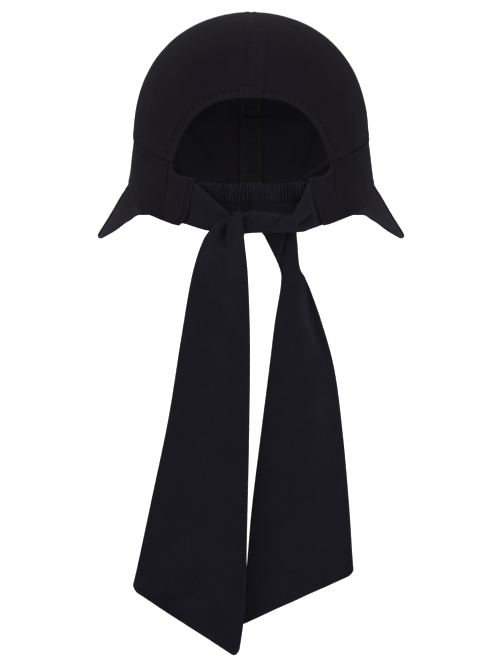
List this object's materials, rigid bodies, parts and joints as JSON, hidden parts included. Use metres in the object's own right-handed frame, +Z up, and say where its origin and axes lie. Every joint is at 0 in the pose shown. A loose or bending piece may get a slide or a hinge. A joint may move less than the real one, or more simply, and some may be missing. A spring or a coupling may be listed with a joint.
{
  "type": "sun cap with back opening and tie tails",
  "caption": "Dark cloth sun cap with a panelled dome crown, curved front peak, half-moon back opening over a gathered elastic, and flared ties in a half knot.",
  "frame": {"origin": "centre of the head opening, at the level of the band's lower edge at the back", "axes": "+Z up out of the crown, +Y to the front, where the peak points, +X to the wearer's right"},
  "size_m": [0.2146, 0.2813, 0.4184],
  "materials": {
    "crown_cloth": "matt woven cloth, near black with a faint violet cast",
    "band_cloth": "matt woven cloth, near black",
    "peak_cloth": "matt woven cloth over a stiff core, near black",
    "tie_cloth": "soft woven cloth, near black",
    "elastic_cloth": "gathered cloth casing, near black",
    "seam_tape": "ribbed tape, black with an olive cast"
  },
  "bodies": {
    "root": {"crown_back_left": "crown_cloth", "crown_back_right": "crown_cloth", "crown_side_left": "crown_cloth", "crown_side_right": "crown_cloth", "crown_front_left": "crown_cloth", "crown_front_right": "crown_cloth", "opening_facing": "crown_cloth", "band_left": "band_cloth", "band_right": "band_cloth", "tab_left": "band_cloth", "tab_right": "band_cloth", "back_elastic": "elastic_cloth", "front_seam_tape": "seam_tape", "peak": "peak_cloth", "tie_left": "tie_cloth", "tie_right": "tie_cloth"}
  },
  "joints": []
}
